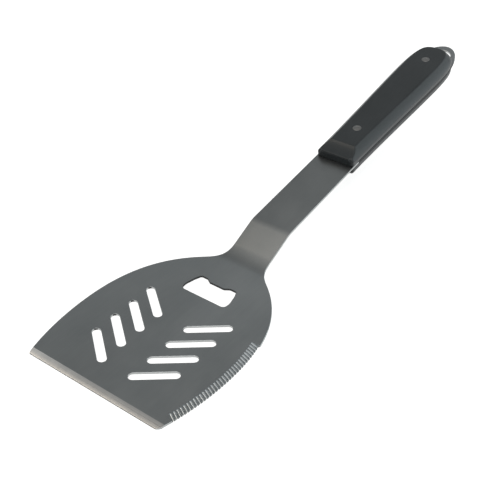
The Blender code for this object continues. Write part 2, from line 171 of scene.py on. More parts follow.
RIVET_STEM_RADIUS = 1.6 * MM
RIVET_STEM_SPARE = 1.0 * MM
RIVET_SEAT_GAP = 0.06 * MM
RIVET_SAG = 0.22 * MM
RIVET_RING_HALF = 0.12 * MM
RIVET_ROUNDING = 0.3 * MM

# Camera
CAMERA_PLACE = Vector((-0.3212, -0.2931, 0.3799))
CAMERA_AZIMUTH = math.radians(-53.158)
CAMERA_ELEVATION = math.radians(36.018)
CAMERA_ROLL = math.radians(-0.176)
LENS = 66.494

TANG_FRAME = (Matrix.Translation((FRONT_X + BLADE_LENGTH + RISER_RUN, 0,
                                  UNDERSIDE_Z + SHEET + RISER_HEIGHT))
              @ Matrix.Rotation(-TANG_SLOPE, 4, "Y"))


# ---------------------------------------------------------------- curves and paths

def bezier(start, start_handle, end_handle, end, segments):
    t = np.linspace(0, 1, segments + 1)[:, None]
    p = [np.array(v, float) for v in (start, start_handle, end_handle, end)]
    weights = ((1 - t) ** 3, 3 * t * (1 - t) ** 2, 3 * t * t * (1 - t), t ** 3)
    return [tuple(row) for row in sum(w * q for w, q in zip(weights, p))]


def mirrored(points):
    return [(x, -y) for x, y in reversed(points)]


def fillet(points, radii, segments):
    """A closed outline, with each corner that has a radius turned into an arc."""
    path = []
    count = len(points)
    for i, (corner, radius) in enumerate(zip(points, radii)):
        corner = Vector(corner)
        if not radius:
            path.append(tuple(corner))
            continue
        back = (Vector(points[i - 1]) - corner).normalized()
        ahead = (Vector(points[(i + 1) % count]) - corner).normalized()
        half_turn = back.angle(ahead) / 2
        centre = corner + (back + ahead).normalized() * radius / math.sin(half_turn)
        start = corner + back * radius / math.tan(half_turn) - centre
        end = corner + ahead * radius / math.tan(half_turn) - centre
        turn = start.angle_signed(end)
        for step in range(segments + 1):
            spoke = Matrix.Rotation(-turn * step / segments, 2) @ start
            path.append(tuple(centre + spoke))
    return path


class BentPath:
    """The sheet's top face in side view: straight, bend, riser, bend, tang."""

    def __init__(self):
        riser_angle = math.atan2(RISER_HEIGHT, RISER_RUN)
        first = LOWER_BEND_RADIUS * math.tan(riser_angle / 2)
        second = UPPER_BEND_RADIUS * math.tan((riser_angle - TANG_SLOPE) / 2)
        riser = math.hypot(RISER_HEIGHT, RISER_RUN)
        turn = riser_angle - TANG_SLOPE
        self.spans = [(BLADE_LENGTH - first, 0, 0), (LOWER_BEND_RADIUS * riser_angle, 0, riser_angle),
                      (riser - first - second, riser_angle, riser_angle),
                      (UPPER_BEND_RADIUS * turn, riser_angle, TANG_SLOPE),
                      (2 * TANG_LENGTH, TANG_SLOPE, TANG_SLOPE)]
        starts = np.cumsum([0] + [span[0] for span in self.spans])
        self.bends = [(starts[1], starts[2]), (starts[3], starts[4])]
        self.tang_start = starts[4] - second
        self.table_s = np.linspace(0, BLADE_LENGTH + RISER_RUN * 2, 4000)
        self.table_x = np.array([self.at(s)[0] for s in self.table_s])

    def at(self, s):
        """X behind the front edge, height, and angle of the top face at s along the sheet."""
        x = z = 0.0
        for i, (length, a0, a1) in enumerate(self.spans):
            step = s if i == 0 else max(s, 0)
            step = min(step, length)
            if a0 == a1:
                x += step * math.cos(a0)
                z += step * math.sin(a0)
                angle = a0
            else:
                angle = a0 + (a1 - a0) * step / length
                radius = length / (a1 - a0)
                x += radius * (math.sin(angle) - math.sin(a0))
                z += radius * (math.cos(a0) - math.cos(angle))
            s -= length
            if s <= 0:
                break
        return x, z, angle

    def unbend(self, x):
        return float(np.interp(x, self.table_x, self.table_s))


sheet_path = BentPath()


def blade_side():
    """The left side of the blade, from the front edge to the neck, as seen from above."""
    widest = (WIDEST_AT, BLADE_WIDTH / 2)
    shoulder = np.array((BLADE_LENGTH - SHOULDER_LENGTH, SHOULDER_WIDTH / 2))
    neck = (BLADE_LENGTH + NECK_BLEND, SHANK_WIDTH / 2)
    slope = np.array((math.cos(SHOULDER_ANGLE), -math.sin(SHOULDER_ANGLE)))
    front = bezier((0, FRONT_WIDTH / 2),
                   (WIDEST_AT * FRONT_PULL, BLADE_WIDTH / 2 - (BLADE_WIDTH - FRONT_WIDTH) * FRONT_DROP),
                   (WIDEST_AT * (1 - WIDEST_PULL), BLADE_WIDTH / 2), widest, 24)
    reach = shoulder[0] - WIDEST_AT
    sweep = bezier(widest, (WIDEST_AT + reach * SWEEP_PULL, BLADE_WIDTH / 2),
                   shoulder - slope * reach * SHOULDER_PULL, shoulder, 40)
    turn = neck[0] - shoulder[0]
    blend = bezier(shoulder, shoulder + slope * turn * NECK_START_PULL,
                   (neck[0] - turn * NECK_END_PULL, neck[1]), neck, 20)
    return front + sweep[1:] + blend[1:]


def serrated(side):
    """The blade's side, set in from the front edge to the last tooth."""
    xs, ys = zip(*side)
    step = (SERRATION_END, float(np.interp(SERRATION_END, xs, ys)))
    inner = [(x, y - SERRATION_RECESS) for x, y in side if x < SERRATION_END]
    inner.append((step[0], step[1] - SERRATION_RECESS))
    return inner + [step] + [p for p in side if p[0] > SERRATION_END]


def tang_side(rear, fullness, segments):
    """Half outline from the handle's front to the tail at rear, in the tang's frame."""
    widest = (TANG_WIDEST_AT, TANG_WIDTH / 2)
    reach = TANG_WIDEST_AT - SCALE_FRONT
    flare = bezier((SCALE_FRONT, SHANK_WIDTH / 2),
                   (SCALE_FRONT + reach * FLARE_START_PULL, SHANK_WIDTH / 2),
                   (TANG_WIDEST_AT - reach * FLARE_END_PULL, widest[1]), widest, segments)
    tail = bezier(widest, (widest[0] + (rear - widest[0]) * TAIL_PULL, widest[1]),
                  (rear, widest[1] * fullness), (rear, 0), segments)
    return flare + tail[1:]


# ---------------------------------------------------------------- outlines on the flat blank

def blank_outline():
    tail = tang_side(TANG_LENGTH - TAIL_TRIM, TANG_TAIL_FULLNESS, 32)
    tang = [(sheet_path.tang_start + x, y) for x, y in tail]
    side = blade_side()
    left = [(sheet_path.unbend(x), y) for x, y in side] + tang
    right = [(sheet_path.unbend(x), y) for x, y in serrated(side)] + tang
    outline = left[:-1] + mirrored(right)
    radii = [LEFT_CORNER] + [0] * (len(outline) - 2) + [RIGHT_CORNER]
    return fillet(outline, radii, 8)


def slot_outline(row, place):
    centre = Vector((FIRST_SLOT + place * SLOT_PITCH, row * SLOT_OFFSET))
    turn = Matrix.Rotation(row * SLOT_ANGLE, 2)
    straight = (SLOT_LENGTH - SLOT_WIDTH) / 2
    points = []
    for side in (1, -1):
        for step in range(25):
            angle = math.radians(-90 + 7.5 * step)
            tip = Vector((straight + SLOT_WIDTH / 2 * math.cos(angle), SLOT_WIDTH / 2 * math.sin(angle)))
            points.append(tuple(centre + turn @ (side * tip)))
    return points


def opener_outline():
    """Straight front, bulging sides, and a tab between two notches at the rear."""
    rear = OPENER_FRONT + OPENER_LENGTH
    half = OPENER_WIDTH / 2
    corners = [(OPENER_FRONT, half - OPENER_TUCK), (OPENER_FRONT + OPENER_WIDEST_AT, half),
               (OPENER_FRONT + OPENER_LENGTH * OPENER_HIP, half * OPENER_HIP_WIDTH),
               (rear, half * OPENER_EAR_WIDTH),
               (rear, OPENER_TAB_WIDTH / 2 + OPENER_NOTCH),
               (rear - OPENER_TAB_DEPTH, OPENER_TAB_WIDTH / 2)]
    return fillet(corners + mirrored(corners), OPENER_RADII + OPENER_RADII[::-1], 10)


def hanging_hole_outline():
    rear = sheet_path.tang_start + TANG_LENGTH - HOLE_REAR_WALL
    centre = rear - HOLE_RADIUS
    start = math.acos((HOLE_RADIUS - HOLE_LENGTH) / HOLE_RADIUS)
    arc = []
    for step in range(33):
        angle = -start + 2 * start * step / 32
        arc.append((centre + HOLE_RADIUS * math.cos(angle), HOLE_RADIUS * math.sin(angle)))
    radii = [HOLE_CORNER] + [0] * (len(arc) - 2) + [HOLE_CORNER]
    return fillet(arc, radii, 6)


def circle(x, radius, steps=48):
    return [(x + radius * math.cos(math.tau * i / steps), radius * math.sin(math.tau * i / steps))
            for i in range(steps)]


# ---------------------------------------------------------------- mesh helpers

def link(name, data):
    made = bpy.data.objects.new(name, data)
    bpy.context.scene.collection.objects.link(made)
    return made


def mesh_object(name, work):
    mesh = bpy.data.meshes.new(name)
    work.to_mesh(mesh)
    work.free()
    return link(name, mesh)


def apply_modifiers(piece):
    evaluated = piece.evaluated_get(bpy.context.evaluated_depsgraph_get())
    mesh = bpy.data.meshes.new_from_object(evaluated)
    piece.modifiers.clear()
    piece.data = mesh


def cut(piece, cutter):
    modifier = piece.modifiers.new("Cut", "BOOLEAN")
    modifier.operation = "DIFFERENCE"
    modifier.solver = "EXACT"
    modifier.object = cutter
    bpy.context.view_layer.update()
    apply_modifiers(piece)
    bpy.data.objects.remove(cutter)


def smooth(piece, angle):
    piece.data.shade_smooth()
    piece.data.set_sharp_from_angle(angle=math.radians(angle))


def turned_ccw(points, wanted):
    area = sum(x0 * y1 - x1 * y0 for (x0, y0), (x1, y1) in zip(points, points[1:] + points[:1]))
    return points if (area > 0) == wanted else points[::-1]


def into_material(points, distance):
    """The outline moved to its left by distance."""
    moved = []
    for i, point in enumerate(points):
        before = (Vector(point) - Vector(points[i - 1])).normalized()
        after = (Vector(points[(i + 1) % len(points)]) - Vector(point)).normalized()
        normal = Vector((-before.y - after.y, before.x + after.x)).normalized()
        reach = distance / max(normal.dot(Vector((-after.y, after.x))), 0.5)
        moved.append((point[0] + normal.x * reach, point[1] + normal.y * reach))
    return moved


def flat_plate(name, outlines, bottom, top, chamfer):
    """Outlines, the outer one first, filled and extruded, with a fine chamfer on all edges."""
    levels = [(bottom, 0), (top, 0)]
    if chamfer:
        levels = [(bottom, chamfer), (bottom + chamfer, 0), (top - chamfer, 0), (top, chamfer)]
    work = bmesh.new()
    caps = {bottom: [], top: []}
    for i, outline in enumerate(outlines):
        outline = turned_ccw(outline, i == 0)
        rings = []
        for level, inset in levels:
            points = into_material(outline, inset) if inset else outline
            rings.append([work.verts.new((x, y, level)) for x, y in points])
        for low, high in zip(rings, rings[1:]):
            for k in range(len(low)):
                j = k - 1
                work.faces.new((low[j], low[k], high[k], high[j]))
        for level, ring in ((bottom, rings[0]), (top, rings[-1])):
            caps[level] += [work.edges.get((ring[k - 1], ring[k])) for k in range(len(ring))]
    for edges in caps.values():
        bmesh.ops.triangle_fill(work, use_beauty=True, use_dissolve=False, edges=edges)
    bmesh.ops.recalc_face_normals(work, faces=work.faces)
    return mesh_object(name, work)


# ---------------------------------------------------------------- the sheet

def groove_cutters(first):
    """A capsule for every other tooth, lying across the serrated side and deeper at the edge."""
    stretch = [p for p in serrated(blade_side()) if SERRATION_START <= p[0] <= SERRATION_END][:-1]
    edge = [Vector((x, -y)) for x, y in stretch]
    lengths = np.cumsum([0] + [(b - a).length for a, b in zip(edge, edge[1:])])
    pitch = lengths[-1] / TEETH
    tilt = math.atan((GROOVE_EDGE_DEPTH - GROOVE_END_DEPTH) / GROOVE_LENGTH)
    work = bmesh.new()
    for tooth in range(first, TEETH, 2):
        distance = (tooth + 0.5) * pitch
        k = min(int(np.searchsorted(lengths, distance)), len(edge) - 1) - 1
        ahead = (edge[k + 1] - edge[k]).normalized()
        point = edge[k] + ahead * (distance - lengths[k])
        heading = math.atan2(-ahead.x, ahead.y) - GROOVE_SLANT
        add_capsule(work, Vector((point.x, point.y, 0)), heading, tilt, pitch)
    return mesh_object("groove_cutters", work)


def add_capsule(work, place, heading, tilt, pitch):
    """A round-ended bar whose lower side grinds the groove. Its width is just under the pitch."""
    ball = bmesh.ops.create_uvsphere(work, u_segments=20, v_segments=12, radius=1.0)["verts"]
    bmesh.ops.rotate(work, verts=ball, matrix=Matrix.Rotation(math.pi / 2, 3, "Y"))
    height = GROOVE_EDGE_DEPTH * GROOVE_BAR_HEIGHT
    overlap = height - GROOVE_EDGE_DEPTH
    half_width = pitch * GROOVE_FILL / 2 / math.sqrt(1 - (overlap / height) ** 2)
    bmesh.ops.scale(work, verts=ball, vec=(GROOVE_NOSE, half_width, height))
    for vert in ball:
        if vert.co.x > 0:
            vert.co.x += GROOVE_LENGTH + GROOVE_REACH
    bmesh.ops.translate(work, verts=ball, vec=(-GROOVE_LENGTH, 0, overlap))
    bmesh.ops.rotate(work, verts=ball, matrix=Matrix.Rotation(tilt, 3, "Y"))
    bmesh.ops.rotate(work, verts=ball, matrix=Matrix.Rotation(heading, 3, "Z"))
    bmesh.ops.translate(work, verts=ball, vec=place)


def grind(work):
    """Grinds the front edge down along a shallow curve, as a belt leaves it, in flat steps."""
    drop = SHEET - EDGE_THICKNESS
    steps = [EDGE_BEVEL * (1 - k / GRIND_STEPS) for k in range(GRIND_STEPS + 1)]
    curve = [(x, -drop * (1 - x / EDGE_BEVEL) ** GRIND_CURVE) for x in steps]
    for (x0, z0), (x1, z1) in zip(curve, curve[1:]):
        normal = Vector((z1 - z0, 0, x0 - x1)).normalized()
        geometry = work.verts[:] + work.edges[:] + work.faces[:]
        made = bmesh.ops.bisect_plane(work, geom=geometry, plane_co=(x0, 0, z0), plane_no=normal,
                                      clear_outer=True)
        edges = [item for item in made["geom_cut"] if isinstance(item, bmesh.types.BMEdge)]
        bmesh.ops.contextual_create(work, geom=edges)


def bend(work):
    """Cuts rows across both bends, then moves the flat blank onto the bent path."""
    rows = []
    for start, end in sheet_path.bends:
        rows += list(np.linspace(start, end, 13))
    for s in rows:
        geometry = work.verts[:] + work.edges[:] + work.faces[:]
        bmesh.ops.bisect_plane(work, geom=geometry, plane_co=(s, 0, 0), plane_no=(1, 0, 0))
    for vert in work.verts:
        x, z, angle = sheet_path.at(vert.co.x)
        depth = vert.co.z
        vert.co.x = FRONT_X + x - depth * math.sin(angle)
        vert.co.z = UNDERSIDE_Z + SHEET + z + depth * math.cos(angle)


def face_kind(face, rim):
    """Index of the finish: 0 brushed, 1 ground bevel with painted highlight, 2 cut rim with a faint
    painted highlight, 3 near-black painted shade on walls and edges, 4 painted highlight on one flank of
    each groove.
    """
    centre = face.calc_center_median()
    normal = face.normal
    if centre.x < EDGE_BEVEL and 0.3 < normal.z < 0.9999 and normal.x < -0.01:
        return 1
    reach = GROOVE_LENGTH + 2.5 * MM
    if centre.y < -FRONT_WIDTH / 2 + reach and 0.12 < normal.z < 0.995 and abs(normal.x) > 0.03:
        # Painted highlight: groove flanks facing -X get the bright groove finish, the other flanks the
        # plain sheet.
        return 4 if normal.x < 0 else 0
    if abs(normal.z) > 0.9:
        return 0
    # Painted shade on the tang's rim between the scales, past the first stretch of the grip.
    along_grip = centre.x - sheet_path.tang_start - SCALE_FRONT
    if PAINTED_SHADE_RIM_START < along_grip < SCALE_REAR - SCALE_FRONT:
        return 3
    # Painted shade on the front edge's face.
    if centre.x < EDGE_CHAMFER and abs(normal.x) > 0.9:
        return 3
    # Painted shade on all of the opener's walls and on the slot end walls that face one way.
    inside = rim(centre) > RIM_REACH
    in_opener = inside and OPENER_FRONT - MM < centre.x < OPENER_FRONT + OPENER_LENGTH + MM
    slot_end = abs(normal.x * math.cos(SLOT_ANGLE)) + abs(normal.y * math.sin(SLOT_ANGLE)) > 0.93
    same_way = normal.x * normal.y * centre.y > 0
    in_slots = inside and centre.x < OPENER_FRONT
    return 3 if in_opener or (in_slots and slot_end and same_way) else 2


def rim_distance(outline):
    a = np.array(outline)
    b = np.roll(a, -1, axis=0)
    ab = b - a

    def distance(point):
        p = np.array((point.x, point.y))
        t = np.clip(((p - a) * ab).sum(1) / np.maximum((ab * ab).sum(1), 1e-12), 0, 1)
        return float(np.hypot(*(a + ab * t[:, None] - p).T).min())
    return distance


def make_sheet(finishes):
    outline = blank_outline()
    holes = [slot_outline(row, i) for row in (1, -1) for i in range(SLOTS_PER_ROW)]
    holes += [opener_outline(), hanging_hole_outline()]
    for place in RIVET_PLACES.values():
        holes.append(circle(sheet_path.tang_start + place, RIVET_BARREL_RADIUS + GAP))
    sheet = flat_plate("spatula_sheet", [outline] + holes, -SHEET, 0, EDGE_CHAMFER)
    cut(sheet, groove_cutters(0))
    cut(sheet, groove_cutters(1))
    work = bmesh.new()
    work.from_mesh(sheet.data)
    grind(work)
    work.normal_update()
    rim = rim_distance(outline)
    for face in work.faces:
        face.material_index = face_kind(face, rim)
    bend(work)
    work.to_mesh(sheet.data)
    work.free()
    for finish in finishes:
        sheet.data.materials.append(finish)
    smooth(sheet, 14)
    return sheet


# ---------------------------------------------------------------- the handle scales

def soft_min(a, b, softness):
    blend = np.maximum(softness - np.abs(a - b), 0) / softness
    return np.minimum(a, b) - blend * blend * softness / 4


def lean_height(inset):
    """Height of the leaning side face at a distance inside the outline."""
    curve = np.array(bezier((0, SCALE_WALL), (0, SCALE_THICKNESS * SCALE_WALL_PULL),
                            (SCALE_INSET * SCALE_FACET_INSET, SCALE_THICKNESS * SCALE_FACET_HEIGHT),
                            (SCALE_INSET, SCALE_THICKNESS), 60))
    slope = (1 - SCALE_FACET_HEIGHT) * SCALE_THICKNESS / ((1 - SCALE_FACET_INSET) * SCALE_INSET)
    beyond = np.maximum(inset - SCALE_INSET, 0) * slope
    return np.interp(inset, curve[:, 0], curve[:, 1]) + beyond


def cove_height(x):
    """Height that the nose and the cove leave at x along the tang."""
    rise = SCALE_THICKNESS - COVE_LIP
    back = SCALE_FRONT + COVE_LENGTH
    low_handle = (SCALE_FRONT + COVE_LENGTH * COVE_START_PULL, COVE_LIP + rise * COVE_START_RISE)
    high_handle = (back - COVE_LENGTH * COVE_END_PULL, SCALE_THICKNESS - rise * COVE_END_DROP)
    curve = np.array(bezier((SCALE_FRONT + COVE_NOSE, COVE_LIP), low_handle, high_handle,
                            (back, SCALE_THICKNESS), 60))
    slope = COVE_END_DROP * rise / (COVE_END_PULL * COVE_LENGTH)
    beyond = np.maximum(x - back, 0) * slope
    nose = np.clip(SCALE_FRONT + COVE_NOSE - x, 0, COVE_NOSE)
    dip = COVE_NOSE - np.sqrt(COVE_NOSE ** 2 - nose ** 2)
    return np.interp(x, curve[:, 0], curve[:, 1]) + beyond - dip


def scale_columns():
    """Half outline of the scale and, for each of its points, where the column ends inside."""
    side = np.array(tang_side(SCALE_REAR, SCALE_TAIL_FULLNESS, 400))
    turn = np.linspace(0, math.pi / 2, 10)
    corner = np.column_stack([SCALE_FRONT + NOSE_CORNER * (1 - np.cos(turn)),
                              SHANK_WIDTH / 2 - NOSE_CORNER * (1 - np.sin(turn))])
    outline = np.vstack([corner, side[side[:, 0] > SCALE_FRONT + NOSE_CORNER]])
    arc = np.concatenate([[0], np.cumsum(np.hypot(*np.diff(outline, axis=0).T))])
    nose = COVE_NOSE * (1 - np.cos(np.linspace(0, math.pi / 2, 8)))
    cove = np.linspace(COVE_NOSE, COVE_LENGTH + 2 * MM, 52)[1:]
    rest = np.linspace(COVE_LENGTH + 2 * MM, arc[-1], 120)[1:]
    stations = np.unique(np.concatenate([nose, cove, rest]))
    x = np.interp(stations, arc, outline[:, 0])
    y = np.interp(stations, arc, outline[:, 1])
    middle = np.minimum(x, SCALE_REAR - TANG_WIDTH * TAIL_FAN)
    return outline, x, y, middle


def scale_heights(points, outline):
    """Height above the seat at plan points: side faces, flat top and cove, softly joined."""
    both = np.vstack([outline, outline[::-1] * (1, -1)])
    gap = points[:, None, :] - both[None, :, :]
    inset = np.sqrt((gap ** 2).sum(2)).min(1)
    sides = soft_min(lean_height(inset), np.full(len(inset), SCALE_THICKNESS), SCALE_SOFTNESS)
    return soft_min(sides, cove_height(points[:, 0]), SCALE_SOFTNESS)


def scale_mesh(name, side):
    """The scale as a fan of columns from its outline to its middle, closed below."""
    outline, x, y, middle = scale_columns()
    fractions = np.concatenate([np.linspace(0, 0.5, 26), np.linspace(0.5, 1, 8)[1:]])
    rows = []
    for fraction in fractions:
        plan = np.column_stack([x + (middle - x) * fraction, y * (1 - fraction)])
        rows.append((plan, scale_heights(plan, outline)))
    base = GAP if side > 0 else -SHEET - GAP
    rim = rows[0][0]
    wall_top = rows[0][1]
    walls = [(0.0, SCALE_EDGE), (SCALE_EDGE, 0.0)]
    work = bmesh.new()
    grid = []
    for level, pull in walls:
        grid.append([(px, max(py - pull, 0), level) for px, py in rim])
    for step in (0.35, 0.7):
        grid.append([(px, py, SCALE_EDGE + (h - SCALE_EDGE) * step)
                     for (px, py), h in zip(rim, wall_top)])
    for plan, heights in rows:
        grid.append([(px, py, h) for (px, py), h in zip(plan, heights)])
    table = []
    for line in grid:
        ring = line + [(px, -py, h) for px, py, h in reversed(line[:-1])]
        table.append([work.verts.new((px, py, base + side * h)) for px, py, h in ring])
    for low, high in zip(table, table[1:]):
        for i in range(len(low) - 1):
            work.faces.new((low[i], low[i + 1], high[i + 1], high[i]))
    front = [line[0] for line in table] + [line[-1] for line in reversed(table)]
    work.faces.new(front)
    work.faces.new(table[0])
    bmesh.ops.remove_doubles(work, verts=work.verts, dist=0.002 * MM)
    bmesh.ops.recalc_face_normals(work, faces=work.faces)
    return mesh_object(name, work)


def make_scale(name, node, side, finishes):
    scale = scale_mesh(name, side)
    outer = GAP + SCALE_THICKNESS if side > 0 else -SHEET - GAP - SCALE_THICKNESS
    for place in RIVET_PLACES.values():
        seat = outer - side * (RIVET_HEAD_HEIGHT - RIVET_HEAD_PROUD + RIVET_SEAT_GAP)
        low, high = sorted((seat, outer + side * 3 * MM))
        head = circle(place, RIVET_HEAD_RADIUS + RIVET_SEAT_GAP, 96)
        cut(scale, flat_plate(name + "_seat", [head], low, high, 0.0))
        low, high = sorted((-side * 4 * MM, outer))
        cut(scale, flat_plate(name + "_bore", [circle(place, RIVET_BARREL_RADIUS + GAP)], low, high, 0.0))
    for face in scale.data.polygons:
        # Painted shade: the nose's front face gets the darker copy of the black.
        face.material_index = int(face.center.x < SCALE_FRONT + COVE_NOSE and face.normal.x < -0.5)
    scale.data.transform(TANG_FRAME)
    for finish in finishes:
        scale.data.materials.append(finish)
    smooth(scale, 30)
    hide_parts(node)
    return scale


# ---------------------------------------------------------------- rivets

def turned(name, profile, along_tang, node, finish):
    """A profile in X and Z, turned about Z at its place on the tang."""
    work = bmesh.new()
    verts = [work.verts.new((r, 0, z)) for r, z in profile]
    edges = [work.edges.new(pair) for pair in zip(verts, verts[1:])]
    bmesh.ops.spin(work, geom=verts + edges, axis=(0, 0, 1), cent=(0, 0, 0),
                   angle=math.tau, steps=72, use_merge=True)
    bmesh.ops.remove_doubles(work, verts=work.verts, dist=0.002 * MM)
    bmesh.ops.recalc_face_normals(work, faces=work.faces)
    piece = mesh_object(name, work)
    piece.data.transform(TANG_FRAME @ Matrix.Translation((along_tang, 0, 0)))
    piece.data.materials.append(finish)
    smooth(piece, 32)
    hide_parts(node)
    return piece


def head_face(outer):
    """Half profile of a rivet's face, from its axis: a low dome, a fine ring and a round rim."""
    head = RIVET_HEAD_RADIUS
    ring = RIVET_STEM_RADIUS
    ring_edge = ring + RIVET_RING_HALF
    rounding = head - RIVET_ROUNDING
    points = [(0, outer - 0.05 * MM), (ring * 0.55, outer - 0.05 * MM),
              (ring - RIVET_RING_HALF, outer - 0.09 * MM), (ring, outer - 0.16 * MM),
              (ring_edge, outer - 0.05 * MM)]
    for step in range(1, 9):
        r = ring_edge + (rounding - ring_edge) * step / 8
        points.append((r, outer - RIVET_SAG * (r / head) ** 2))
    edge = outer - RIVET_SAG * (rounding / head) ** 2
    for step in range(1, 5):
        angle = math.pi / 2 * step / 4
        points.append((rounding + RIVET_ROUNDING * math.sin(angle),
                       edge - RIVET_ROUNDING * (1 - math.cos(angle))))
    return points


def make_rivet(name, along_tang, finish):
    head = RIVET_HEAD_RADIUS
    stem = RIVET_STEM_RADIUS
    barrel = RIVET_BARREL_RADIUS
    top = GAP + SCALE_THICKNESS + RIVET_HEAD_PROUD
    bottom = -SHEET - GAP - SCALE_THICKNESS - RIVET_HEAD_PROUD
    cap_seat = top - RIVET_HEAD_HEIGHT
    post_seat = bottom + RIVET_HEAD_HEIGHT
    stem_top = cap_seat - RIVET_STEM_SPARE
    cap = head_face(top) + [(head, cap_seat), (barrel, cap_seat), (barrel, post_seat + GAP),
                            (stem + GAP, post_seat + GAP), (stem + GAP, stem_top + GAP),
                            (0, stem_top + GAP)]
    face = [(r, 2 * bottom - z) for r, z in head_face(bottom)]
    post = face + [(head, post_seat), (stem, post_seat), (stem, stem_top), (0, stem_top)]
    pieces = [turned(f"{name}_cap_turned", cap, along_tang, name + "_cap", finish),
              turned(f"{name}_post_turned", post, along_tang, name + "_post", finish)]
    return pieces


# ---------------------------------------------------------------- materials

class Finish:
    """A small helper around one material's nodes, all in the object's own coordinates."""

    def __init__(self, name, metallic, roughness, specular=0.5):
        self.material = bpy.data.materials.new(name)
        self.material.use_nodes = True
        self.nodes = self.material.node_tree.nodes
        self.links = self.material.node_tree.links
        self.shader = self.nodes["Principled BSDF"]
        self.shader.inputs["Metallic"].default_value = metallic
        self.shader.inputs["Roughness"].default_value = roughness
        self.shader.inputs["Specular IOR Level"].default_value = specular
        self.place = self.nodes.new("ShaderNodeTexCoord").outputs["Object"]

    def stretched(self, scale):
        mapping = self.nodes.new("ShaderNodeMapping")
        mapping.inputs["Scale"].default_value = scale
        self.links.new(self.place, mapping.inputs["Vector"])
        return mapping.outputs["Vector"]

    def noise(self, scale, detail=3.0, roughness=0.55):
        texture = self.nodes.new("ShaderNodeTexNoise")
        texture.inputs["Scale"].default_value = 1.0
        texture.inputs["Detail"].default_value = detail
        texture.inputs["Roughness"].default_value = roughness
        self.links.new(self.stretched(scale), texture.inputs["Vector"])
        return texture.outputs["Fac"]

    def ramp(self, value, stops):
        """stops: (position, grey or colour) pairs."""
        node = self.nodes.new("ShaderNodeValToRGB")
        elements = node.color_ramp.elements
        while len(elements) < len(stops):
            elements.new(0.5)
        for element, (position, color) in zip(elements, stops):
            element.position = position
            element.color = (*color, 1) if isinstance(color, tuple) else (color, color, color, 1)
        self.links.new(value, node.inputs["Fac"])
        return node.outputs["Color"]

    def blend(self, kind, amount, first, second):
        node = self.nodes.new("ShaderNodeMix")
        node.data_type = "RGBA"
        node.blend_type = kind
        for socket, value in ((0, amount), (6, first), (7, second)):
            if hasattr(value, "is_linked"):
                self.links.new(value, node.inputs[socket])
            elif isinstance(value, tuple):
                node.inputs[socket].default_value = (*value, 1)
            else:
                node.inputs[socket].default_value = value
        return node.outputs[2]

    def math(self, kind, first, second):
        node = self.nodes.new("ShaderNodeMath")
        node.operation = kind
        for i, value in enumerate((first, second)):
            if hasattr(value, "is_linked"):
                self.links.new(value, node.inputs[i])
            else:
                node.inputs[i].default_value = value
        return node.outputs[0]

    def across(self, width, stops):
        """A painted light tone that changes from the serrated side, 0, to the left side, 1, over a width.
        """
        split = self.nodes.new("ShaderNodeSeparateXYZ")
        self.links.new(self.stretched((1, 1 / width, 1)), split.inputs["Vector"])
        return self.ramp(self.math("ADD", split.outputs["Y"], 0.5), stops)

    def spread(self, value, low, high):
        node = self.nodes.new("ShaderNodeMapRange")
        node.inputs["To Min"].default_value = low
        node.inputs["To Max"].default_value = high
        self.links.new(value, node.inputs["Value"])
        return node.outputs["Result"]

    def bump(self, height, strength, distance):
        node = self.nodes.new("ShaderNodeBump")
        node.inputs["Strength"].default_value = strength
        node.inputs["Distance"].default_value = distance
        self.links.new(height, node.inputs["Height"])
        self.links.new(node.outputs["Normal"], self.shader.inputs["Normal"])

    def color(self, value):
        self.links.new(value, self.shader.inputs["Base Color"])

    def roughness(self, value):
        self.links.new(value, self.shader.inputs["Roughness"])


def brushed_steel():
    """Satin sheet, brushed lengthways: fine scratches, faint bands, clouds, and painted light that makes
    it paler at -Y.
    """
    finish = Finish("brushed_sheet_steel", 1.0, 0.36)
    fine = finish.noise((90, 5200, 5200), 4.0, 0.6)
    coarse = finish.noise((22, 900, 900), 3.0)
    cloud = finish.noise((26, 34, 34), 3.0)
    base = finish.ramp(cloud, [(0.3, (0.355, 0.371, 0.373)), (0.7, (0.398, 0.411, 0.411))])
    lines = finish.ramp(fine, [(0.3, 0.93), (0.7, 1.0)])
    bands = finish.ramp(coarse, [(0.35, 0.975), (0.65, 1.0)])
    tone = finish.blend("MULTIPLY", 1.0, finish.blend("MULTIPLY", 1.0, base, lines), bands)
    # Painted light: lighter toward the serrated side, a gradient across the shank, clamped to its two
    # ends over the blade.
    painted_light_across = finish.across(SHANK_WIDTH, [(0.0, 1.0), (1.0, 0.86)])
    finish.color(finish.blend("MULTIPLY", 1.0, tone, painted_light_across))
    finish.roughness(finish.spread(finish.math("ADD", finish.math("MULTIPLY", fine, 0.6),
                                               finish.math("MULTIPLY", cloud, 0.4)), 0.24, 0.38))
    finish.bump(fine, 0.10, 0.00004)
    return finish.material


def ground_steel(name, low, high, across):
    """Bevel and lit groove flanks: coarser grinding marks, brighter than the sheet, on the bevel partly
    as ground steel and partly as painted highlight, on the groove flanks as painted highlight, with a
    painted light tone across.
    """
    finish = Finish(name, 1.0, 0.42)
    marks = finish.noise((260, 2600, 2600), 4.0, 0.65)
    cloud = finish.noise((60, 60, 60), 2.0)
    base = finish.ramp(cloud, [(0.3, low), (0.7, high)])
    lines = finish.ramp(marks, [(0.3, 0.86), (0.7, 1.0)])
    painted_light_across = finish.across(BLADE_WIDTH, across)
    finish.color(finish.blend("MULTIPLY", 1.0, finish.blend("MULTIPLY", 1.0, base, lines), painted_light_across))
    finish.roughness(finish.spread(marks, 0.3, 0.44))
    finish.bump(marks, 0.14, 0.00005)
    return finish.material


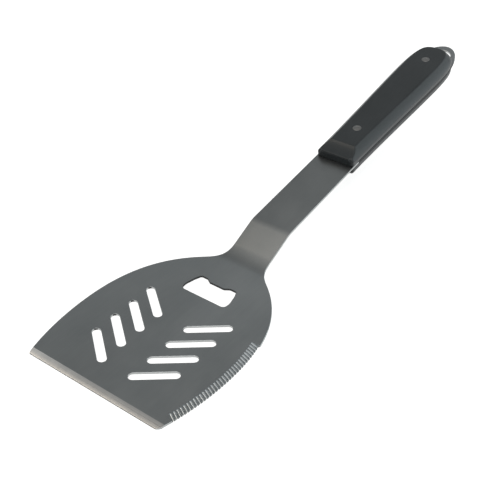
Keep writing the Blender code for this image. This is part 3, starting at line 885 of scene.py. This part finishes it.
def cut_rim_steel():
    """The sheet's outer rim: deburred, and a little lighter than the sheet as a painted highlight along
    its edges.
    """
    finish = Finish("cut_rim_steel", 1.0, 0.38)
    marks = finish.noise((700, 700, 4000), 3.0)
    finish.color(finish.ramp(marks, [(0.3, (0.33, 0.34, 0.34)), (0.7, (0.45, 0.46, 0.46))]))
    finish.roughness(finish.spread(marks, 0.3, 0.48))
    finish.bump(marks, 0.12, 0.00004)
    return finish.material


def painted_shade_wall_steel():
    """Painted shade, near black: walls of the opener and of some slot ends, the front edge and the tang's
    rim in the grip.
    """
    finish = Finish("painted_shade_walls", 1.0, 0.55)
    marks = finish.noise((900, 900, 250), 3.0)
    finish.color(finish.ramp(marks, [(0.3, (0.035, 0.035, 0.036)), (0.7, (0.06, 0.06, 0.061))]))
    finish.roughness(finish.spread(marks, 0.45, 0.65))
    finish.bump(marks, 0.2, 0.00005)
    return finish.material


def handle_black(name, specular, shade):
    """Dense black scale: satin, with a fine matte grain, faint lengthways drag and soft wear. A shade
    below 1 darkens a copy as painted shade.
    """
    finish = Finish(name, 0.0, 0.4, specular)
    grain = finish.noise((2400, 2400, 2400), 3.0, 0.6)
    drag = finish.noise((40, 900, 900), 3.0)
    cloud = finish.noise((38, 38, 38), 2.5)
    base = finish.ramp(cloud, [(0.3, (0.019, 0.0235, 0.0255)), (0.7, (0.027, 0.032, 0.0345))])
    streak = finish.ramp(drag, [(0.35, 0.86 * shade), (0.65, shade)])
    finish.color(finish.blend("MULTIPLY", 1.0, base, streak))
    mix = finish.math("ADD", finish.math("MULTIPLY", grain, 0.5), finish.math("MULTIPLY", cloud, 0.5))
    finish.roughness(finish.spread(mix, 0.32, 0.5))
    finish.bump(finish.math("ADD", grain, finish.math("MULTIPLY", drag, 0.5)), 0.12, 0.00005)
    return finish.material


def rivet_steel():
    finish = Finish("rivet_steel", 1.0, 0.42)
    marks = finish.noise((1500, 1500, 1500), 3.0)
    cloud = finish.noise((240, 240, 240), 2.0)
    base = finish.ramp(cloud, [(0.3, (0.26, 0.26, 0.255)), (0.7, (0.33, 0.325, 0.32))])
    finish.color(finish.blend("MULTIPLY", 1.0, base, finish.ramp(marks, [(0.3, 0.85), (0.7, 1.0)])))
    finish.roughness(finish.spread(marks, 0.34, 0.52))
    finish.bump(marks, 0.15, 0.00004)
    return finish.material


# ---------------------------------------------------------------- stage, light, camera

def make_floor():
    half = 6.0
    work = bmesh.new()
    corners = [(-half, -half), (half, -half), (half, half), (-half, half)]
    work.faces.new([work.verts.new((x, y, UNDERSIDE_Z - 0.1 * MM)) for x, y in corners])
    floor = mesh_object("floor", work)
    finish = Finish("pale_floor", 0.0, 0.9, 0.0)
    cloud = finish.noise((3, 3, 3), 2.0)
    finish.color(finish.ramp(cloud, [(0.0, (0.60, 0.60, 0.597)), (1.0, (0.62, 0.62, 0.617))]))
    finish.shader.inputs["Emission Color"].default_value = (1.0, 1.0, 0.995, 1)
    finish.shader.inputs["Emission Strength"].default_value = 0.78
    floor.data.materials.append(finish.material)


def make_world():
    """A studio seen from the object: pale near the horizon, a dim band above it, a warmer top."""
    world = bpy.data.worlds.new("studio")
    bpy.context.scene.world = world
    world.use_nodes = True
    nodes, links = world.node_tree.nodes, world.node_tree.links
    direction = nodes.new("ShaderNodeTexCoord").outputs["Generated"]
    split = nodes.new("ShaderNodeSeparateXYZ")
    links.new(direction, split.inputs["Vector"])
    ramp = nodes.new("ShaderNodeValToRGB")
    cool, warm = (0.955, 1.0, 1.02), (1.01, 1.0, 0.975)
    stops = [(0.0, 0.70, cool), (0.30, 0.60, cool), (0.50, 0.54, cool), (0.58, 0.50, cool),
             (0.63, 0.42, cool), (0.68, 0.25, cool), (0.72, 0.17, cool), (0.77, 0.19, cool),
             (0.83, 0.30, warm), (0.89, 0.54, warm), (1.0, 0.72, warm)]
    elements = ramp.color_ramp.elements
    while len(elements) < len(stops):
        elements.new(0.5)
    for element, (position, grey, tint) in zip(elements, stops):
        element.position = position
        element.color = (grey * tint[0], grey * tint[1], grey * tint[2], 1)
    links.new(split.outputs["Z"], ramp.inputs["Fac"])
    links.new(ramp.outputs["Color"], nodes["Background"].inputs["Color"])
    nodes["Background"].inputs["Strength"].default_value = 1.0


def make_light(name, place, aim, size, power, color=(1, 1, 1)):
    light = bpy.data.lights.new(name, "AREA")
    light.shape = "SQUARE"
    light.size = size
    light.energy = power
    light.color = color
    lamp = link(name, light)
    lamp.location = place
    lamp.rotation_euler = (Vector(aim) - Vector(place)).to_track_quat("-Z", "Y").to_euler()


def make_camera():
    camera = bpy.data.cameras.new("camera")
    camera.lens = LENS
    camera.sensor_width = 36
    camera.clip_start = 0.01
    seen = link("camera", camera)
    azimuth, elevation = CAMERA_AZIMUTH, CAMERA_ELEVATION
    back = Vector((math.sin(azimuth) * math.cos(elevation), -math.cos(azimuth) * math.cos(elevation),
                   math.sin(elevation)))
    turn = (-back).to_track_quat("-Z", "Y").to_matrix() @ Matrix.Rotation(CAMERA_ROLL, 3, "Z")
    seen.matrix_world = Matrix.Translation(CAMERA_PLACE) @ turn.to_4x4()
    bpy.context.scene.camera = seen


# ---------------------------------------------------------------- assembly

make_camera()
make_world()
make_floor()
make_light("key_softbox", (-0.9, -0.5, 1.4), (0.1, 0, 0), 1.0, 7)
make_light("side_softbox", (1.5, -1.1, 0.5), (0.3, 0, 0.03), 1.0, 4.2, (0.84, 0.96, 1.0))
make_light("warm_softbox", (-0.40, 0.64, 1.12), (0.2, 0, 0.05), 0.42, 1.8, (1.0, 0.88, 0.74))

# The second black is a darker, less shiny copy: painted shade on the nose's front face.
black = [handle_black("handle_black", 0.5, 1.0), handle_black("handle_black_painted_shade_nose", 0.25, 0.6)]
rivet_finish = rivet_steel()
# Painted highlight: the bevel's colour is partly a highlight, strongest toward the left side.
bevel_painted_highlight_finish = ground_steel("ground_bevel_painted_highlight", (0.86, 0.85, 0.83), (1.0, 0.985, 0.96),
                            [(0.1, 0.70), (0.5, 0.74), (0.72, 0.84), (0.88, 1.0)])
# Painted highlight on the groove flanks that face -X.
groove_flank_highlight_finish = ground_steel("groove_flank_painted_highlight", (0.56, 0.60, 0.62), (0.68, 0.72, 0.745),
                             [(0.0, 1.0), (1.0, 1.0)])
sheet = make_sheet([brushed_steel(), bevel_painted_highlight_finish, cut_rim_steel(), painted_shade_wall_steel(), groove_flank_highlight_finish])
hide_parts("blade_and_tang")
made = [sheet, make_scale("upper_scale_fine", "upper_scale", 1, black),
        make_scale("lower_scale_fine", "lower_scale", -1, black)]
for rivet, place in RIVET_PLACES.items():
    made += make_rivet(rivet, place, rivet_finish)
for piece in made:
    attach(piece, "root")

bpy.context.scene.view_settings.view_transform = "Standard"
